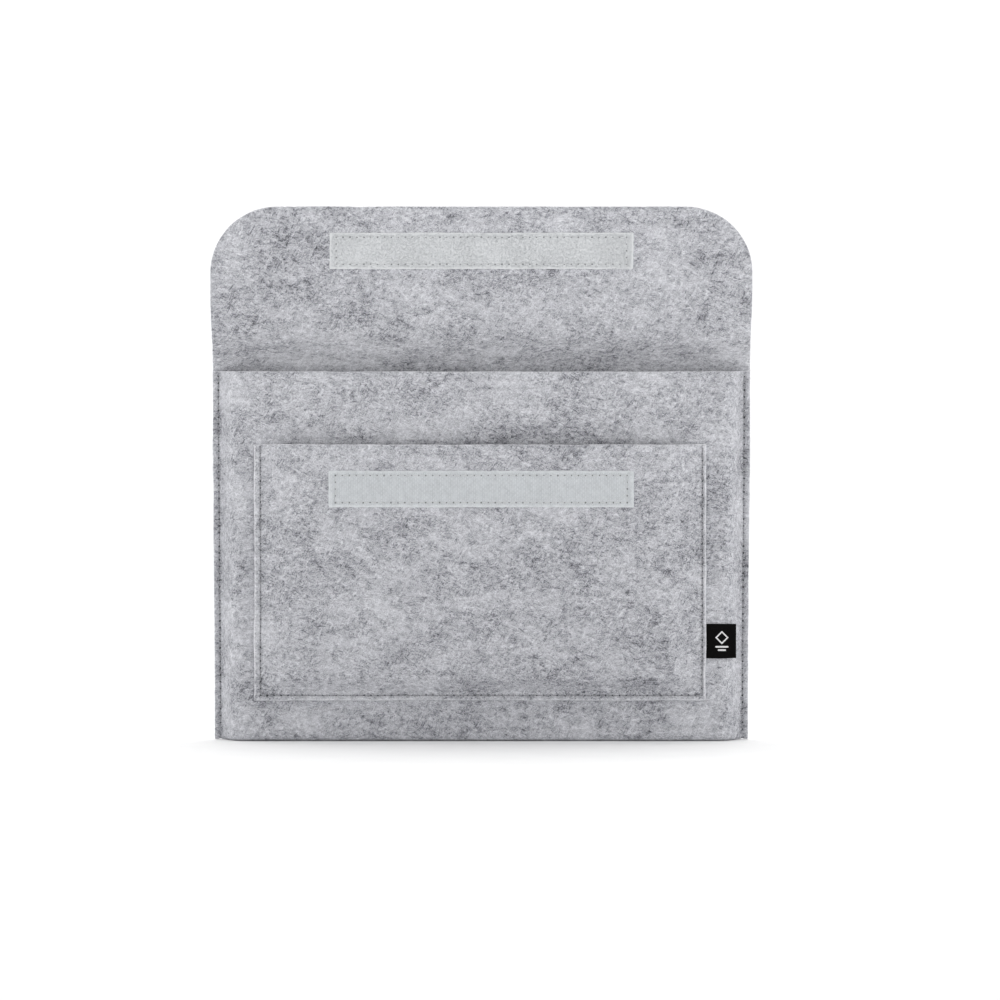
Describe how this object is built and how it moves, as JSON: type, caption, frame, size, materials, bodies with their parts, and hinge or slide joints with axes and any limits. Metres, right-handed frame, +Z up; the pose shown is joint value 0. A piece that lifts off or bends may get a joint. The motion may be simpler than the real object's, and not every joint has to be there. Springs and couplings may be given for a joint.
{
  "type": "laptop sleeve",
  "caption": "Felt laptop sleeve with a fold-over flap, a front pocket, a hook-and-loop closure and a folded side label.",
  "frame": {"origin": "centre of the bottom of the sleeve's box, on the surface that it stands on", "axes": "+Z up, the front with the pocket faces -Y, +X to the right seen from the front"},
  "size_m": [0.3734, 0.0346, 0.367],
  "materials": {
    "felt": "heathered pale grey needle felt",
    "hook_tape_cloth": "woven nylon tape ground",
    "hooks": "rows of fine nylon hooks",
    "loop_tape_cloth": "knitted nylon tape ground",
    "pile": "brushed loop pile",
    "label": "black damask-woven ribbon",
    "thread": "spun polyester sewing thread"
  },
  "bodies": {
    "sleeve": {"back_panel": "felt", "bottom_fold": "felt", "front_panel": "felt", "flap_crease": "felt", "pocket_panel": "felt", "hook_tape": "hook_tape_cloth", "hook_field": "hooks", "label_root": "label", "side_seam_left_needle_thread": "thread", "side_seam_left_bobbin_thread": "thread", "side_seam_right_needle_thread": "thread", "side_seam_right_bobbin_thread": "thread", "pocket_seam_needle_thread": "thread", "pocket_seam_bobbin_thread": "thread", "hook_tape_seam_needle_thread": "thread", "hook_tape_seam_bobbin_thread": "thread"},
    "flap": {"flap": "felt", "loop_tape": "loop_tape_cloth", "loop_pile": "pile", "loop_tape_seam_needle_thread": "thread", "loop_tape_seam_bobbin_thread": "thread"},
    "label": {"label_tab": "label"}
  },
  "joints": [
    {"name": "flap_fold", "type": "hinge", "parent": "sleeve", "child": "flap", "pos_m": [0, -0.0025, 0.255], "axis": [1, 0, 0], "range_deg": [0, 179.5], "deforming": ["flap_crease"]},
    {"name": "label_flip", "type": "hinge", "parent": "sleeve", "child": "label", "pos_m": [0.1547, -0.006, 0.0689], "axis": [0, 0, -1], "range_deg": [0, 90], "stiffness_Nm_per_rad": 0.0002}
  ]
}
